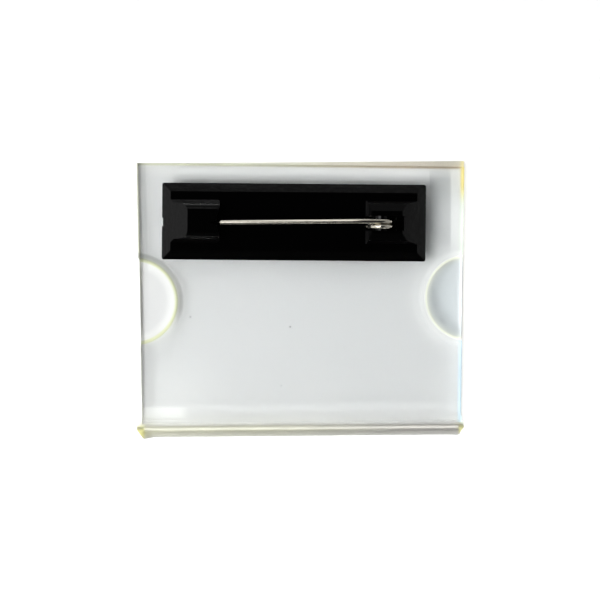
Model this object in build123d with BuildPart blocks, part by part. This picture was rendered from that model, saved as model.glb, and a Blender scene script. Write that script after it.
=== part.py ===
"""Clear pocket badge lying on its front face: folded acrylic holder, black bar fitting, steel pin.

Millimetres. The front face lies on z = 0, the back with its fitting faces +Z, the open end of
the pocket faces +Y, and the origin is under the middle of the holder.
"""
from build123d import *
import os
from math import acos, cos, degrees, radians, sin, tan

os.makedirs("parts", exist_ok=True)

# Clear holder: one sheet folded back on itself
SHEET_T = 1.5
POCKET_GAP = 1.1
FOLD_R = 2.4
FOLD_BLEND_R = 11.0
FOLD_BOTTOM_Y = -23.3
FOLD_SKEW = 0.5
BACK_TOP_LEFT = (-28.0, 23.4)
BACK_TOP_RIGHT = (28.1, 22.75)
FRONT_TOP_LEFT = (-27.9, 23.45)
FRONT_TOP_RIGHT = (28.15, 23.85)
WAIST_LEFT = (-27.05, -20.6)
EAR_LEFT = (-27.9, -21.3)
HEEL_LEFT = (-27.9, -22.2)
FOOT_LEFT = (-26.75, -23.84)
WAIST_RIGHT = (27.55, -19.3)
EAR_RIGHT = (28.0, -21.7)
FOOT_RIGHT = (27.1, -23.05)
EAR_START = 25.0
EAR_END = 28.6
EAR_REACH_LEFT = 0.62
EAR_REACH_RIGHT = 0.1
NOTCH_R = 7.4
NOTCH_LEFT = (-28.45, -0.25)
NOTCH_RIGHT = (28.8, 0.4)
SHEET_MARGIN = 30.0

# Bar fitting, in its own frame: u along the bar, v up the badge, w away from the holder
BAR_X = -1.05
BAR_Y = 13.3
BAR_TURN = -0.48
GLUE_GAP = 0.05
BAR_L = 45.0
BAR_W = 13.1
BAR_CORNER_R = 0.35
RIM_H = 0.6
BEVEL_W = 1.5
BEVEL_ANGLE = 44.0
NICK_DEPTH = 0.17
NICK_W = 1.45

# Hood over the pin's point
HOOD_MOUTH_U = -12.6
HOOD_H = 2.9
HOOD_HALF_W = 3.66
HOOD_SKIRT = (3.05, 0.6)
HOOD_TOP_HALF_W = 2.97
HOOD_ROUND_R = 1.4
HOOD_CORNER_R = 0.5
HOOD_ROOF_T = 1.1
TUNNEL_HALF_W = 1.4
TUNNEL_L = 4.2
TUNNEL_ROUND_R = 0.6
SCOOP_R = 6.0
SCOOP_DEPTH = 0.5
VEE_CLEARANCE = 0.12

# Block round the coil
BLOCK_LEFT_U = 12.2
BLOCK_H = 2.5
BLOCK_HALF_W = 3.67
BLOCK_SHOULDER = (3.15, 1.67)
BLOCK_TOP_HALF_W = 1.9
BLOCK_END_SKIRT = (0.3, 0.35)
BLOCK_END_SHOULDER = 0.43
BLOCK_END_RAKE = 1.0
SLOT_LOW_V = -1.4
SLOT_HIGH_V = 1.08
SLOT_RIGHT_U = 18.85
SLOT_CLEARANCE = 0.2
WELL_FLOOR_T = 0.25
PEG_R = 1.4

# Steel wire: a needle with the coil turn that swings, and the fixed turn with its leg
WIRE_D = 0.8
COIL_U = 14.87
COIL_W = 2.75
COIL_MEAN_R = 2.0
NEEDLE_V = 0.12
TURN_SPACING = 0.86
NEEDLE_TURN = 250.0
FIXED_TURN = 285.0
LEG_L = 4.0
LEG_CLEARANCE = 0.1
BEND_U = 11.3
BEND_R = 40.0
TIP = (-14.15, -0.25, 3.2)
TIP_L = 1.7
TIP_R = 0.06

back_z = 2 * SHEET_T + POCKET_GAP
fold_y = FOLD_BOTTOM_Y + FOLD_R
plate_t = RIM_H + BEVEL_W * tan(radians(BEVEL_ANGLE))
bar_z = back_z + GLUE_GAP
above_all = 12.0


def fold_section(along):
    """Plane across the fold, a distance along it: local x runs up the badge, local y is height."""
    turn = radians(FOLD_SKEW)
    direction = Vector(cos(turn), sin(turn), 0)
    return Plane(origin=direction * along, x_dir=(-sin(turn), cos(turn), 0), z_dir=direction)


def bar_plane(w=0.0):
    """Plane parallel to the bar's underside, w above it."""
    turn = radians(BAR_TURN)
    x_dir = (cos(turn), sin(turn), 0)
    return Plane(origin=(BAR_X, BAR_Y, bar_z + w), x_dir=x_dir, z_dir=(0, 0, 1))


def bar_point(u, v, w):
    """A point given in the bar's own frame."""
    return bar_plane().from_local_coords(Vector(u, v, w))


def across_bar(u):
    """Plane across the bar at u: local x is v, local y is w."""
    bar = bar_plane()
    return Plane(origin=bar_point(u, 0, 0), x_dir=bar.y_dir, z_dir=bar.x_dir)


def along_bar(v):
    """Plane along the bar at v: local x is u, local y is w."""
    bar = bar_plane()
    return Plane(origin=bar_point(0, v, 0), x_dir=bar.x_dir, z_dir=-bar.y_dir)


def at_angle(radius, angle):
    """The coil's (u, w) at an angle clockwise from its top."""
    turn = radians(angle)
    return (COIL_U + radius * sin(turn), COIL_W + radius * cos(turn))


# Folded sheet, wider than the holder: the back leaf dips from the fold to the pocket's gap
dip = 2 * FOLD_R - back_z
blend_angle = degrees(acos(1 - dip / (FOLD_R + FOLD_BLEND_R)))

with BuildPart() as folded_sheet:
    with BuildSketch(fold_section(0)):
        with BuildLine():
            front = Line((SHEET_MARGIN, 0), (fold_y, 0))
            bend = JernArc(front @ 1, front % 1, FOLD_R, -(180 + blend_angle))
            blend = JernArc(bend @ 1, bend % 1, FOLD_BLEND_R, blend_angle)
            Line(blend @ 1, (SHEET_MARGIN, back_z))
            offset(amount=SHEET_T, side=Side.RIGHT)
        make_face()
    extrude(amount=SHEET_MARGIN, both=True)

    # Each end of the fold swells outwards into a blunt ear
    for side, reach in ((-1, EAR_REACH_LEFT), (1, EAR_REACH_RIGHT)):
        with BuildSketch(fold_section(side * EAR_START)) as ear_cut:
            with Locations((fold_y - FOLD_R, FOLD_R)):
                Rectangle(2 * FOLD_R, 3 * FOLD_R)
        extrude(ear_cut.sketch, amount=side * SHEET_MARGIN, mode=Mode.SUBTRACT)
        with BuildSketch(fold_section(side * EAR_START)) as ear_root:
            with Locations((fold_y, FOLD_R)):
                Circle(FOLD_R)
            with Locations((fold_y + FOLD_R, FOLD_R)):
                Rectangle(2 * FOLD_R, 3 * FOLD_R, mode=Mode.SUBTRACT)
        with BuildSketch(fold_section(side * EAR_END)) as ear_tip:
            with Locations((fold_y, FOLD_R)):
                Ellipse(FOLD_R + reach, FOLD_R)
            with Locations((fold_y + FOLD_R, FOLD_R)):
                Rectangle(2 * FOLD_R, 3 * FOLD_R, mode=Mode.SUBTRACT)
        loft([ear_root.sketch, ear_tip.sketch])
    with BuildSketch(fold_section(0)) as bore:
        with Locations((fold_y, FOLD_R)):
            Circle(FOLD_R - SHEET_T)
    extrude(bore.sketch, amount=SHEET_MARGIN, both=True, mode=Mode.SUBTRACT)

# Clear holder: the folded sheet inside the plan of its two leaves, with a finger notch each side
below_ears = FOLD_BOTTOM_Y - 2 * EAR_REACH_LEFT
ear_ends = [
    WAIST_LEFT,
    EAR_LEFT,
    HEEL_LEFT,
    FOOT_LEFT,
    (FOOT_LEFT[0], below_ears),
    (FOOT_RIGHT[0], below_ears),
    FOOT_RIGHT,
    EAR_RIGHT,
    WAIST_RIGHT,
]

with BuildPart() as clear_holder:
    with BuildSketch():
        with BuildLine():
            Polyline(FRONT_TOP_LEFT, *ear_ends, FRONT_TOP_RIGHT, close=True)
        make_face()
    extrude(amount=FOLD_R)
    with BuildSketch(Plane.XY.offset(FOLD_R)) as back_leaf:
        with BuildLine():
            Polyline(BACK_TOP_LEFT, *ear_ends, BACK_TOP_RIGHT, close=True)
        make_face()
        with Locations(NOTCH_LEFT, NOTCH_RIGHT):
            Circle(NOTCH_R, mode=Mode.SUBTRACT)
    extrude(back_leaf.sketch, amount=FOLD_R)
    add(folded_sheet.part, mode=Mode.INTERSECT)

clear_holder.part.label = "clear_holder"
export_step(clear_holder.part, "parts/clear_holder.step")

# Hood: a round-shouldered block whose left end slopes like the bar's bevel
bevel_slope = tan(radians(BEVEL_ANGLE))
plate_left_u = -BAR_L / 2 + BEVEL_W
plate_right_u = BAR_L / 2 - BEVEL_W
hood_top = plate_t + HOOD_H
tunnel_h = HOOD_H - HOOD_ROOF_T

with BuildPart() as hood:
    with BuildSketch(across_bar(plate_left_u)):
        with BuildLine():
            Polyline(
                (-HOOD_HALF_W, plate_t),
                (HOOD_HALF_W, plate_t),
                (HOOD_SKIRT[0], plate_t + HOOD_SKIRT[1]),
                (HOOD_TOP_HALF_W, hood_top),
                (-HOOD_TOP_HALF_W, hood_top),
                (-HOOD_SKIRT[0], plate_t + HOOD_SKIRT[1]),
                close=True,
            )
        face = make_face()
        fillet(face.vertices().group_by(Axis.Y)[-1], HOOD_ROUND_R)
    extrude(amount=HOOD_MOUTH_U - plate_left_u)
    with BuildSketch(bar_plane()) as footprint:
        with Locations((HOOD_MOUTH_U - BAR_W / 2, 0)):
            RectangleRounded(BAR_W, 2 * HOOD_HALF_W, HOOD_CORNER_R)
    extrude(footprint.sketch, amount=above_all, mode=Mode.INTERSECT)
    with BuildSketch(along_bar(0)) as side_view:
        with BuildLine():
            Polyline(
                (plate_left_u, plate_t),
                (HOOD_MOUTH_U, plate_t),
                (HOOD_MOUTH_U, hood_top),
                (plate_left_u + HOOD_H / bevel_slope, hood_top),
                close=True,
            )
        make_face()
    extrude(side_view.sketch, amount=BAR_W, both=True, mode=Mode.INTERSECT)

    # The mouth's scoop, the tunnel behind it and the vee in its roof for the point
    with BuildSketch(bar_plane()) as scoop:
        with Locations((HOOD_MOUTH_U - SCOOP_DEPTH + SCOOP_R, 0)):
            Circle(SCOOP_R)
    extrude(scoop.sketch, amount=above_all, mode=Mode.SUBTRACT)
    with BuildSketch(across_bar(HOOD_MOUTH_U - TUNNEL_L)) as tunnel:
        with Locations((0, plate_t)):
            RectangleRounded(2 * TUNNEL_HALF_W, 2 * tunnel_h, TUNNEL_ROUND_R)
    extrude(tunnel.sketch, amount=2 * TUNNEL_L, mode=Mode.SUBTRACT)
    vee_half_w = WIRE_D / 2 + VEE_CLEARANCE
    with BuildSketch(bar_plane(plate_t + tunnel_h / 2)) as vee:
        with BuildLine():
            Polyline(
                (TIP[0] + TIP_L, TIP[1] + vee_half_w),
                (TIP[0] - VEE_CLEARANCE, TIP[1] + 2 * TIP_R),
                (TIP[0] - VEE_CLEARANCE, TIP[1] - 2 * TIP_R),
                (TIP[0] + TIP_L, TIP[1] - vee_half_w),
                close=True,
            )
        make_face()
    extrude(vee.sketch, amount=above_all, mode=Mode.SUBTRACT)

# Block round the coil, open at the top and towards the needle
block_top = plate_t + BLOCK_H
block_l = plate_right_u - BLOCK_LEFT_U
slot_v = (SLOT_LOW_V + SLOT_HIGH_V) / 2
slot_w = SLOT_HIGH_V - SLOT_LOW_V

with BuildPart() as block:
    with BuildSketch(across_bar(BLOCK_LEFT_U)):
        with BuildLine():
            Polyline(
                (-BLOCK_HALF_W, plate_t),
                (BLOCK_HALF_W, plate_t),
                (BLOCK_SHOULDER[0], plate_t + BLOCK_SHOULDER[1]),
                (BLOCK_TOP_HALF_W, block_top),
                (-BLOCK_TOP_HALF_W, block_top),
                (-BLOCK_SHOULDER[0], plate_t + BLOCK_SHOULDER[1]),
                close=True,
            )
        make_face()
    extrude(amount=block_l)
    with BuildSketch(along_bar(0)) as side_view:
        with BuildLine():
            Polyline(
                (BLOCK_LEFT_U, plate_t),
                (plate_right_u, plate_t),
                (plate_right_u - BLOCK_H / bevel_slope, block_top),
                (BLOCK_LEFT_U + BLOCK_END_RAKE, block_top),
                (BLOCK_LEFT_U + BLOCK_END_SHOULDER, plate_t + BLOCK_SHOULDER[1]),
                (BLOCK_LEFT_U + BLOCK_END_SKIRT[0], plate_t + BLOCK_END_SKIRT[1]),
                close=True,
            )
        make_face()
    extrude(side_view.sketch, amount=BAR_W, both=True, mode=Mode.INTERSECT)
    with BuildSketch(bar_plane()) as slot:
        with Locations((SLOT_RIGHT_U - block_l / 2, slot_v)):
            Rectangle(block_l, slot_w)
    extrude(slot.sketch, amount=above_all, mode=Mode.SUBTRACT)

# Bar fitting: bevelled plate with the hood, the block and the peg through the coil
fixed_v = NEEDLE_V - TURN_SPACING
coil_r = COIL_MEAN_R + WIRE_D / 2
well_l = 2 * (coil_r + SLOT_CLEARANCE)
leg_w = COIL_W - COIL_MEAN_R

with BuildPart() as pin_bar:
    with BuildSketch(bar_plane()):
        Rectangle(BAR_L, BAR_W)
    extrude(amount=RIM_H)
    with BuildSketch(bar_plane(RIM_H)) as shoulder:
        Rectangle(BAR_L, BAR_W)
    extrude(shoulder.sketch, amount=plate_t - RIM_H, taper=90 - BEVEL_ANGLE)
    add(hood.part)
    add(block.part)
    with BuildSketch(bar_plane()) as plan:
        RectangleRounded(BAR_L, BAR_W, BAR_CORNER_R)
        with Locations((-BAR_L / 2, -NICK_DEPTH)):
            Rectangle(2 * NICK_DEPTH, NICK_W, mode=Mode.SUBTRACT)
    extrude(plan.sketch, amount=above_all, mode=Mode.INTERSECT)
    with BuildSketch(bar_plane(WELL_FLOOR_T)) as well:
        with Locations((COIL_U, slot_v)):
            Rectangle(well_l, slot_w)
    extrude(well.sketch, amount=plate_t, mode=Mode.SUBTRACT)
    leg_channel_w = WIRE_D + 2 * LEG_CLEARANCE
    with BuildSketch(bar_plane(leg_w - leg_channel_w / 2)) as leg_channel:
        with Locations((COIL_U - LEG_L / 2, fixed_v)):
            Rectangle(LEG_L + 2 * LEG_CLEARANCE, leg_channel_w)
    extrude(leg_channel.sketch, amount=leg_channel_w, mode=Mode.SUBTRACT)
    with BuildSketch(along_bar(SLOT_LOW_V)) as peg:
        with Locations((COIL_U, COIL_W)):
            Circle(PEG_R)
    extrude(peg.sketch, amount=-slot_w)

pin_bar.part.label = "pin_bar"
export_step(pin_bar.part, "parts/pin_bar.step")

# Needle: sharp point, straight shank bending slightly into the turn that swings with it
tip = bar_point(*TIP)
shank_bend = bar_point(BEND_U, NEEDLE_V, COIL_W + COIL_MEAN_R)
coil_top = bar_point(COIL_U, NEEDLE_V, COIL_W + COIL_MEAN_R)
shank = (shank_bend - tip).normalized()
point_root = tip + shank * TIP_L

with BuildPart() as pin_needle:
    with BuildLine() as needle_line:
        FilletPolyline(point_root, shank_bend, coil_top, radius=BEND_R)
    with BuildLine(along_bar(NEEDLE_V)) as turn_line:
        ThreePointArc(
            at_angle(COIL_MEAN_R, 0),
            at_angle(COIL_MEAN_R, NEEDLE_TURN / 2),
            at_angle(COIL_MEAN_R, NEEDLE_TURN),
        )
    needle_path = Wire(needle_line.edges() + turn_line.edges())
    with BuildSketch(Plane(origin=point_root, z_dir=shank)) as wire_section:
        Circle(WIRE_D / 2)
    sweep(wire_section.sketch, path=needle_path)
    with BuildSketch(Plane(origin=tip, z_dir=shank)) as tip_section:
        Circle(TIP_R)
    loft([tip_section.sketch, wire_section.sketch])

pin_needle.part.label = "pin_needle"
export_step(pin_needle.part, "parts/pin_needle.step")

# Fixed turn of the coil and the leg that anchors it in the plate
coil_bottom = 540.0
fixed_start = coil_bottom - FIXED_TURN

with BuildPart() as pin_coil:
    with BuildLine(along_bar(fixed_v)) as coil_line:
        ThreePointArc(
            at_angle(COIL_MEAN_R, fixed_start),
            at_angle(COIL_MEAN_R, (fixed_start + coil_bottom) / 2),
            at_angle(COIL_MEAN_R, coil_bottom),
        )
        Line((COIL_U, leg_w), (COIL_U - LEG_L, leg_w))
    with BuildSketch(Plane(coil_line.wire() ^ 0)) as coil_section:
        Circle(WIRE_D / 2)
    sweep(coil_section.sketch, path=coil_line.wire())

pin_coil.part.label = "pin_coil"
export_step(pin_coil.part, "parts/pin_coil.step")
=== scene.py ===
"""Name badge lying on its front face on a white table, seen from straight above."""
from math import cos, radians

import bpy
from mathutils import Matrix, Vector

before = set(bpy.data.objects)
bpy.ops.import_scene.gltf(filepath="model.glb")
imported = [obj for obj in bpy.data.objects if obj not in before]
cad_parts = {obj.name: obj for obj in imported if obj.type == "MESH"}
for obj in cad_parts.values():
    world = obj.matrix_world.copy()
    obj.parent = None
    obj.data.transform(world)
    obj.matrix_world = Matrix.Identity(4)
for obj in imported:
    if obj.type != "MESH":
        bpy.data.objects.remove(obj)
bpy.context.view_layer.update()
scene = bpy.context.scene

MM = 0.001

# Camera, in metres; SHARP_HEIGHT is where VIEW_WIDTH is measured
CAMERA_HEIGHT = 0.5
VIEW_WIDTH = 0.10254
SHARP_HEIGHT = 0.004
SENSOR = 36.0

# The holder's edges, in millimetres: the straight line's offset from the middle, and its slope
LEFT_EDGE, LEFT_SLOPE = 27.5, 0.0217
RIGHT_EDGE, RIGHT_SLOPE = 27.8, -0.0126
BACK_TOP, BACK_TOP_SLOPE = 23.08, 0.0116
FRONT_TOP, FRONT_TOP_SLOPE = 23.6, -0.0071
FOLD_EDGE, FOLD_SLOPE = 23.3, -0.0087
BAR_SLOPE = 0.0084
LEFT_NOTCH = (-28.45, -0.25, 0.0)
RIGHT_NOTCH = (28.8, 0.4, 0.0)
NOTCH_R = 7.4

# Dust specks: x and y in millimetres, and how dark
SPECKS = ((-1.7, -4.6, 0.8), (-18.8, -2.9, 0.35), (-3.2, -14.7, 0.4))

# Table, in metres; the gap below the badge keeps its underside clear of the table
FLOOR_HALF = 0.4
FLOOR_Z = -0.00003

# Main light: a soft round patch of sky, with its radius in degrees where it ends and where it is full
KEY_FROM = Vector((-0.45, -0.21, 1.0)).normalized()
KEY_LEVEL = 6.15
KEY_END, KEY_FULL = 25, 18
WINDOW_LEVEL = 2.8
ROOM_LEVEL = 0.58


# ---------------------------------------------------------------- node helpers
class Nodes:
    """Short ways to add and join shader nodes. Values are numbers, tuples or sockets."""

    def __init__(self, tree):
        self.tree = tree
        tree.nodes.clear()

    def add(self, kind, inputs=None):
        node = self.tree.nodes.new(kind)
        for key, value in (inputs or {}).items():
            self.put(node.inputs[key], value)
        return node

    def put(self, socket, value):
        if isinstance(value, bpy.types.NodeSocket):
            self.tree.links.new(value, socket)
        else:
            if socket.type == "RGBA" and len(value) == 3:
                value = (*value, 1.0)
            socket.default_value = value

    def math(self, operation, *values):
        node = self.tree.nodes.new("ShaderNodeMath")
        node.operation = operation
        for socket, value in zip(node.inputs, values):
            self.put(socket, value)
        return node.outputs[0]

    def chain(self, operation, *values):
        result = values[0]
        for value in values[1:]:
            result = self.math(operation, result, value)
        return result

    def product(self, *values):
        return self.chain("MULTIPLY", *values)

    def total(self, *values):
        return self.chain("ADD", *values)

    def lowest(self, *values):
        return self.chain("MINIMUM", *values)

    def size_of(self, value):
        return self.math("ABSOLUTE", value)

    def inverse(self, value):
        return self.math("SUBTRACT", 1.0, value)

    def leaning(self, value, other, slope):
        """The value plus slope times the other one."""
        return self.math("MULTIPLY_ADD", other, slope, value)

    def vector_math(self, operation, a, b, output=0):
        node = self.tree.nodes.new("ShaderNodeVectorMath")
        node.operation = operation
        self.put(node.inputs[0], a)
        self.put(node.inputs[1], b)
        return node.outputs[output]

    def mix(self, factor, a, b):
        """From colour a at factor 0 to colour b at factor 1."""
        node = self.tree.nodes.new("ShaderNodeMix")
        node.data_type = "RGBA"
        self.put(node.inputs[0], factor)
        self.put(node.inputs[6], a)
        self.put(node.inputs[7], b)
        return node.outputs[2]

    def blend(self, factor, a, b):
        """From number a at factor 0 to number b at factor 1."""
        node = self.tree.nodes.new("ShaderNodeMix")
        node.data_type = "FLOAT"
        self.put(node.inputs[0], factor)
        self.put(node.inputs[2], a)
        self.put(node.inputs[3], b)
        return node.outputs[0]

    def steps(self, value, low, high, out_low=0.0, out_high=1.0):
        """Smoothly from out_low at low to out_high at high."""
        node = self.tree.nodes.new("ShaderNodeMapRange")
        node.interpolation_type = "SMOOTHSTEP"
        for socket, v in zip(node.inputs, (value, low, high, out_low, out_high)):
            self.put(socket, v)
        return node.outputs[0]

    def band(self, value, middle, half, soft):
        """One within half of the middle, zero a soft margin further out."""
        away = self.size_of(self.math("SUBTRACT", value, middle))
        return self.steps(away, half, half + soft, 1.0, 0.0)

    def noise(self, vector, scale, detail=3.0, rough=0.55):
        sockets = {"Vector": vector, "Scale": scale, "Detail": detail, "Roughness": rough}
        return self.add("ShaderNodeTexNoise", sockets).outputs[0]

    def scaled(self, vector, factors):
        return self.vector_math("MULTIPLY", vector, factors)

    def split(self, vector):
        return self.add("ShaderNodeSeparateXYZ", {0: vector}).outputs

    def place_mm(self):
        """The point's place in the row frame, in millimetres: the vector, and its x and y."""
        here = self.add("ShaderNodeTexCoord").outputs["Object"]
        vector = self.scaled(here, (1 / MM,) * 3)
        parts = self.split(vector)
        return vector, parts[0], parts[1]

    def distance(self, x, y, painted_point_shade):
        """How far x and y are from the point, seen from above."""
        here = self.add("ShaderNodeCombineXYZ", {0: x, 1: y}).outputs[0]
        return self.vector_math("DISTANCE", here, painted_point_shade, "Value")

    def steepness(self):
        """How upright the surface is: 0 where it is level, 1 where it is a wall."""
        facing = self.add("ShaderNodeNewGeometry").outputs["True Normal"]
        return self.inverse(self.size_of(self.split(facing)[2]))

    def bump(self, height, distance, strength, normal=None):
        sockets = {"Height": height, "Distance": distance, "Strength": strength}
        if normal is not None:
            sockets["Normal"] = normal
        return self.add("ShaderNodeBump", sockets).outputs[0]

    def surface(self, inputs):
        shader = self.add("ShaderNodeBsdfPrincipled", inputs)
        self.add("ShaderNodeOutputMaterial", {0: shader.outputs[0]})


def new_material(name):
    material = bpy.data.materials.new(name)
    material.use_nodes = True
    return material, Nodes(material.node_tree)


def dress(node_name, material):
    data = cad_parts[node_name].data
    data.materials.clear()
    data.materials.append(material)


class Inwards:
    """Millimetres inwards from each edge of the holder, and outwards from each notch's centre."""

    def __init__(self, n, x, y):
        self.left = n.total(n.leaning(x, y, LEFT_SLOPE), LEFT_EDGE)
        self.right = n.math("SUBTRACT", RIGHT_EDGE, n.leaning(x, y, RIGHT_SLOPE))
        self.back_top = n.math("SUBTRACT", BACK_TOP, n.leaning(y, x, BACK_TOP_SLOPE))
        self.front_top = n.math("SUBTRACT", FRONT_TOP, n.leaning(y, x, FRONT_TOP_SLOPE))
        self.fold = n.total(n.leaning(y, x, FOLD_SLOPE), FOLD_EDGE)
        self.left_notch = n.distance(x, y, LEFT_NOTCH)
        self.right_notch = n.distance(x, y, RIGHT_NOTCH)


# ---------------------------------------------------------------- materials
def edge_glow_and_shade_tint(n, place, x, y, inwards):
    """Clear inside the sheet; the cut edges carry light, and their glow and the shade they throw are
    painted into the colour near them: olive, brown, yellow or blue.
    """
    toward_right = n.steps(x, -12.0, 24.0)
    downward = n.steps(y, 12.0, -8.0)
    wander = n.math("MULTIPLY_ADD", n.noise(place, 0.9, 2.0), 0.16, -0.08)
    tint_and_painted_light = n.mix(n.noise(place, 0.12, 2.0), (0.981, 0.988, 0.987), (0.986, 0.992, 0.991))

    # Painted shade: a dark olive to brown line along the back leaf's top edge
    top_line = n.band(n.total(inwards.back_top, wander), -0.05, 0.15, 0.35)
    olive_to_brown = n.mix(toward_right, (0.9, 0.905, 0.82), (0.82, 0.77, 0.69))
    tint_and_painted_light = n.mix(top_line, tint_and_painted_light, olive_to_brown)
    # Painted edge light: a pale strip along the front leaf's top, beyond the back leaf
    front_strip = n.steps(inwards.back_top, -0.1, -0.4)
    pale_strip = n.mix(toward_right, (0.95, 0.96, 0.88), (0.95, 0.92, 0.85))
    tint_and_painted_light = n.mix(front_strip, tint_and_painted_light, pale_strip)

    # Painted shade: an olive to grey line along the left edge
    left_line = n.band(n.total(inwards.left, wander), 0.0, 0.1, 0.25)
    olive_to_grey = n.mix(downward, (0.93, 0.93, 0.8), (0.95, 0.95, 0.92))
    tint_and_painted_light = n.mix(left_line, tint_and_painted_light, olive_to_grey)
    # Painted edge glow: yellow, green and blue colours along the right edge
    right_line = n.band(n.total(inwards.right, wander), 0.1, 0.2, 0.45)
    yellow_to_green = n.mix(n.steps(y, 20.0, 16.0), (0.97, 0.92, 0.66), (0.955, 0.99, 0.945))
    to_blue = n.mix(n.steps(y, 9.0, -4.0), yellow_to_green, (0.87, 0.94, 0.98))
    tint_and_painted_light = n.mix(right_line, tint_and_painted_light, to_blue)

    # Painted edge glow: a yellow-green line round the left notch's rim
    left_rim = n.band(inwards.left_notch, NOTCH_R - 0.2, 0.2, 0.15)
    tint_and_painted_light = n.mix(left_rim, tint_and_painted_light, (0.92, 0.945, 0.74))
    # Painted light and shade in the right notch: olive at its rim, pale blue further in
    right_rim = n.steps(inwards.right_notch, NOTCH_R - 0.1, NOTCH_R - 1.2, 1.0, 0.0)
    in_right_notch = n.steps(inwards.right_notch, NOTCH_R - 0.05, NOTCH_R - 0.15)
    olive_to_blue = n.mix(right_rim, (0.95, 0.985, 0.995), (0.93, 0.945, 0.85))
    return n.mix(in_right_notch, tint_and_painted_light, olive_to_blue)


def fold_painted_light_and_shade(n, tint_and_painted_light, x, inwards):
    """The fold's painted shade is olive at the left and grey at the right, darker along a line and at
    its right end, and its painted edge glow makes bright yellow ears at its ends.
    """
    toward_right = n.steps(x, -12.0, 24.0)
    fold_band = n.steps(inwards.fold, 1.75, 1.35)
    tint_and_painted_light = n.mix(fold_band, tint_and_painted_light, n.mix(toward_right, (0.9, 0.9, 0.72), (0.72, 0.71, 0.66)))
    fold_line = n.band(inwards.fold, 1.6, 0.3, 0.12)
    tint_and_painted_light = n.mix(fold_line, tint_and_painted_light, n.mix(toward_right, (0.61, 0.61, 0.56), (0.47, 0.46, 0.45)))
    dark_end = n.product(n.band(inwards.fold, 1.25, 0.4, 0.15), n.steps(x, 12.0, 19.0))
    tint_and_painted_light = n.mix(dark_end, tint_and_painted_light, (0.56, 0.54, 0.52))
    # Painted edge glow: bright yellow ears at both ends of the fold
    near_end = n.steps(n.lowest(inwards.left, inwards.right), 0.6, 0.2)
    ears = n.product(n.steps(inwards.fold, 1.9, 1.5), near_end)
    return n.mix(ears, tint_and_painted_light, (0.97, 0.95, 0.45))


def clear_acrylic():
    material, n = new_material("clear_acrylic")
    place, x, y = n.place_mm()
    inwards = Inwards(n, x, y)
    tint_and_painted_light = fold_painted_light_and_shade(n, edge_glow_and_shade_tint(n, place, x, y, inwards), x, inwards)
    for speck_x, speck_y, dark in SPECKS:
        away = n.distance(x, y, (speck_x, speck_y, 0.0))
        tint_and_painted_light = n.mix(n.steps(away, 0.2, 0.05, 0.0, dark), tint_and_painted_light, (0.45, 0.45, 0.45))
    scratches = n.noise(n.scaled(place, (0.5, 9.0, 1.0)), 1.0, 4.0, 0.6)
    polish = n.steps(scratches, 0.66, 0.8, 0.0, 0.05)
    frosted = n.steps(inwards.fold, 2.7, 2.2, 0.0, 0.28)
    # Painted highlight: the sheet glows along a narrow line on the fold
    painted_fold_highlight = n.band(inwards.fold, 2.0, 0.12, 0.2)
    n.surface(
        {
            "Base Color": tint_and_painted_light,
            "Roughness": n.math("MAXIMUM", polish, frosted),
            "IOR": 1.49,
            "Transmission Weight": 1.0,
            "Emission Color": (1.0, 1.0, 0.95, 1.0),
            "Emission Strength": n.product(painted_fold_highlight, 0.065),
        }
    )
    return material


def black_plastic():
    """Glossy and slightly wavy on its flats, duller on its upright walls."""
    material, n = new_material("black_plastic")
    place, x, y = n.place_mm()
    waves = n.bump(n.noise(place, 0.35, 2.0), 0.00004, 0.35)
    relief = n.bump(n.noise(place, 14.0, 3.0, 0.6), 0.000001, 0.5, waves)
    upright = n.steps(n.steepness(), 0.5, 0.75)
    worn = n.steps(n.noise(place, 2.2, 5.0, 0.65), 0.35, 0.7, 0.07, 0.1)
    pigment = n.mix(n.noise(place, 1.3, 4.0), (0.0002, 0.0002, 0.0002), (0.0004, 0.0004, 0.0005))
    n.surface(
        {
            "Base Color": pigment,
            "Roughness": n.blend(upright, worn, 0.38),
            "IOR": 1.5,
            "Specular IOR Level": 0.13,
            "Normal": relief,
        }
    )
    return material


def pin_steel():
    """Drawn wire; its colour is lighter at the coil as a painted highlight, and dark at the point as
    painted shade, where the hood shades it.
    """
    material, n = new_material("pin_steel")
    place, x, y = n.place_mm()
    drawn = n.noise(n.scaled(place, (0.5, 16.0, 16.0)), 1.0, 3.0, 0.6)
    steel_tone_and_coil_highlight = n.mix(n.noise(place, 1.2, 3.0), (0.5, 0.47, 0.4), (0.6, 0.57, 0.5))
    # Painted highlight: the steel is lighter at the coil
    steel_tone_and_coil_highlight = n.mix(n.steps(x, 14.5, 17.0), steel_tone_and_coil_highlight, (0.85, 0.8, 0.7))
    # Painted shade: the point is near black where the hood shades it
    painted_point_shade = n.steps(x, -13.9, -13.3, 1.0, 0.0)
    n.surface(
        {
            "Base Color": n.mix(painted_point_shade, steel_tone_and_coil_highlight, (0.03, 0.029, 0.027)),
            "Metallic": 1.0,
            "Roughness": n.steps(drawn, 0.3, 0.7, 0.09, 0.14),
            "Normal": n.bump(drawn, 0.000002, 0.4),
        }
    )
    return material


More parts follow.
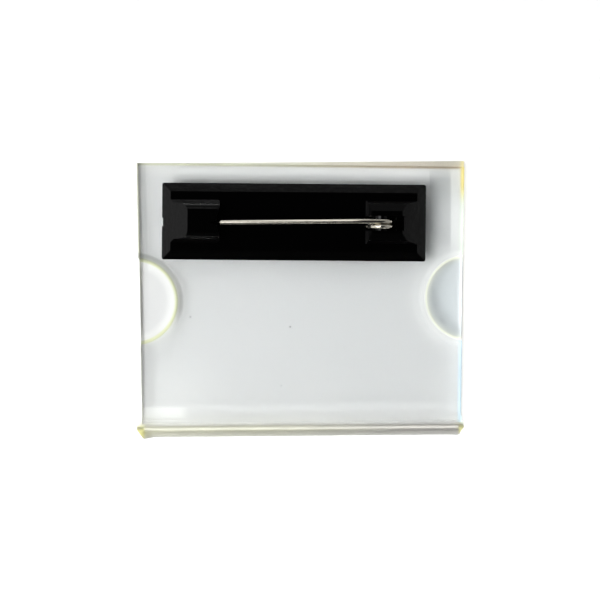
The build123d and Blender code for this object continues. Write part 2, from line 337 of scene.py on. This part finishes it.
def table_painted_light(n, x, y, inwards):
    """Painted light: the white table glows round the badge, most strongly near it, which washes out
    the badge's shadow there; under the badge, painted light stands in for the light that the cut edges
    throw down.
    """
    nearest = n.lowest(inwards.left, inwards.right, inwards.front_top, inwards.fold)
    outside = n.steps(nearest, -0.05, -0.3)
    across = n.math("MAXIMUM", n.size_of(x), n.product(n.size_of(y), 1.15))
    near = n.steps(across, 36.0, 44.0, 0.5, 0.0)
    painted_light_round_badge = n.product(outside, n.total(near, 0.2))

    # Painted light: a bright ring inside the left notch, one beside and one on the right notch's rim,
    # a bright patch near the fold's left end, and a brighter lower left corner
    in_left_notch = n.product(n.band(inwards.left_notch, NOTCH_R - 0.6, 0.25, 1.5), 0.13)
    beside_right_notch = n.product(n.band(inwards.right_notch, NOTCH_R + 0.2, 0.15, 1.1), 0.14)
    right_rim = n.product(n.band(inwards.right_notch, NOTCH_R - 0.2, 0.12, 0.2), 0.22)
    patch = n.product(n.band(x, -23.6, 2.6, 2.4), n.band(y, -19.5, 0.6, 0.8), 0.15)
    corner = n.product(n.steps(x, -10.0, -24.0), n.steps(y, -5.0, -18.0, 0.0, 0.09))
    painted_light_under_badge = n.total(in_left_notch, beside_right_notch, right_rim, patch, corner)
    return n.total(painted_light_round_badge, n.product(painted_light_under_badge, n.inverse(outside)))


def table_tone_and_painted_shade(n, place, x, y, inwards):
    """Nearly white, with the bar's and the edges' shade painted into it."""
    # Painted shade: right of the bar, outside the left notch, the bar's shadow along its top edge,
    # along the left edge, below the bar and at the top right
    shade_right = n.product(n.band(x, 24.1, 1.6, 0.45), n.band(y, 15.5, 4.5, 3.5), 0.22)
    outside_notch = n.band(inwards.left_notch, NOTCH_R + 0.35, 0.2, 0.7)
    shade_notch = n.product(outside_notch, n.steps(y, -5.5, -1.0), 0.42)
    under_bar = n.band(n.leaning(y, x, BAR_SLOPE), 17.0, 3.2, 0.7)
    shade_bar = n.product(under_bar, 0.26, n.steps(n.size_of(x), 23.0, 19.0))
    left_margin = n.band(inwards.left, 0.9, 0.3, 0.5)
    shade_left = n.product(left_margin, n.steps(y, 4.0, 7.0, 0.03, 0.13))
    painted_shade_below_bar = n.product(n.band(y, -5.0, 11.0, 8.0), n.steps(x, -22.0, 22.0, 0.02, 0.09))
    painted_shade_top_right = n.product(n.steps(x, 17.0, 25.0), n.steps(y, 14.0, 20.0, 0.0, 0.13))

    tone = n.mix(n.noise(place, 0.05, 3.0), (0.86, 0.86, 0.86), (0.88, 0.88, 0.88))
    tone = n.mix(shade_right, tone, (0.0, 0.02, 0.03))
    tone = n.mix(shade_notch, tone, (0.0, 0.0, 0.02))
    tone = n.mix(shade_bar, tone, (0.0, 0.0, 0.0))
    tone = n.mix(shade_left, tone, (0.0, 0.02, 0.03))
    return n.mix(n.total(painted_shade_below_bar, painted_shade_top_right), tone, (0.0, 0.05, 0.06))


def table_white():
    material, n = new_material("table_white")
    place, x, y = n.place_mm()
    inwards = Inwards(n, x, y)
    n.surface(
        {
            "Base Color": table_tone_and_painted_shade(n, place, x, y, inwards),
            "Roughness": 0.9,
            "Specular IOR Level": 0.1,
            "Emission Color": (1.0, 1.0, 0.96, 1.0),
            "Emission Strength": table_painted_light(n, x, y, inwards),
        }
    )
    return material


# ---------------------------------------------------------------- camera, table and light
def add_camera():
    camera = bpy.data.objects.new("camera", bpy.data.cameras.new("camera"))
    scene.collection.objects.link(camera)
    camera.location = (0, 0, CAMERA_HEIGHT)
    camera.data.sensor_width = SENSOR
    camera.data.lens = SENSOR * (CAMERA_HEIGHT - SHARP_HEIGHT) / VIEW_WIDTH
    camera.data.clip_start, camera.data.clip_end = 0.01, 20
    scene.camera = camera


def add_table():
    mesh = bpy.data.meshes.new("table_top")
    signs = ((-1, -1), (1, -1), (1, 1), (-1, 1))
    corners = [(a * FLOOR_HALF, b * FLOOR_HALF, FLOOR_Z) for a, b in signs]
    mesh.from_pydata(corners, [], [(0, 1, 2, 3)])
    mesh.materials.append(table_white())
    table = bpy.data.objects.new("table_top", mesh)
    scene.collection.objects.link(table)


def add_sky():
    """A pale room, brightest at the left, with a dark gap overhead, a dark strip and a window."""
    world = bpy.data.worlds.new("studio")
    scene.world = world
    world.use_nodes = True
    n = Nodes(world.node_tree)
    direction = n.add("ShaderNodeTexCoord").outputs["Generated"]
    east, north, up = n.split(direction)

    sideways = n.math("SUBTRACT", n.product(east, east), n.product(north, north))
    level = n.math("MULTIPLY_ADD", east, -0.36, ROOM_LEVEL)
    level = n.math("MULTIPLY_ADD", north, 0.06, level)
    level = n.math("MULTIPLY_ADD", sideways, 0.27, level)
    level = n.product(level, n.steps(up, 0.8, 0.85, 1.0, 0.03))
    south_strip = n.product(n.band(east, -0.02, 0.16, 0.06), n.steps(north, -0.05, -0.2, 0.0, 0.75))
    level = n.product(level, n.inverse(south_strip))

    toward_key = n.vector_math("DOT_PRODUCT", direction, tuple(KEY_FROM), "Value")
    disc = n.steps(toward_key, cos(radians(KEY_END)), cos(radians(KEY_FULL)), 0.0, KEY_LEVEL)
    level = n.total(level, n.product(disc, n.steps(east, -0.1, -0.2)))
    window = n.product(n.band(north, 0.74, 0.09, 0.06), n.band(east, -0.125, 0.075, 0.02))
    window = n.product(window, n.steps(up, 0.1, 0.2))
    level = n.math("MULTIPLY_ADD", window, WINDOW_LEVEL, level)

    sky = n.add("ShaderNodeBackground", {"Color": (1.0, 1.0, 1.0), "Strength": level})
    n.add("ShaderNodeOutputWorld", {0: sky.outputs[0]})


add_camera()
dress("clear_holder", clear_acrylic())
dress("pin_bar", black_plastic())
steel = pin_steel()
dress("pin_needle", steel)
dress("pin_coil", steel)
add_table()
add_sky()

# The acrylic needs many bounces, since light crosses up to eight of its faces
scene.view_settings.view_transform = "Standard"
scene.cycles.blur_glossy = 0.0
scene.cycles.max_bounces = 24
scene.cycles.transmission_bounces = 16
scene.cycles.glossy_bounces = 8
scene.cycles.transparent_max_bounces = 24
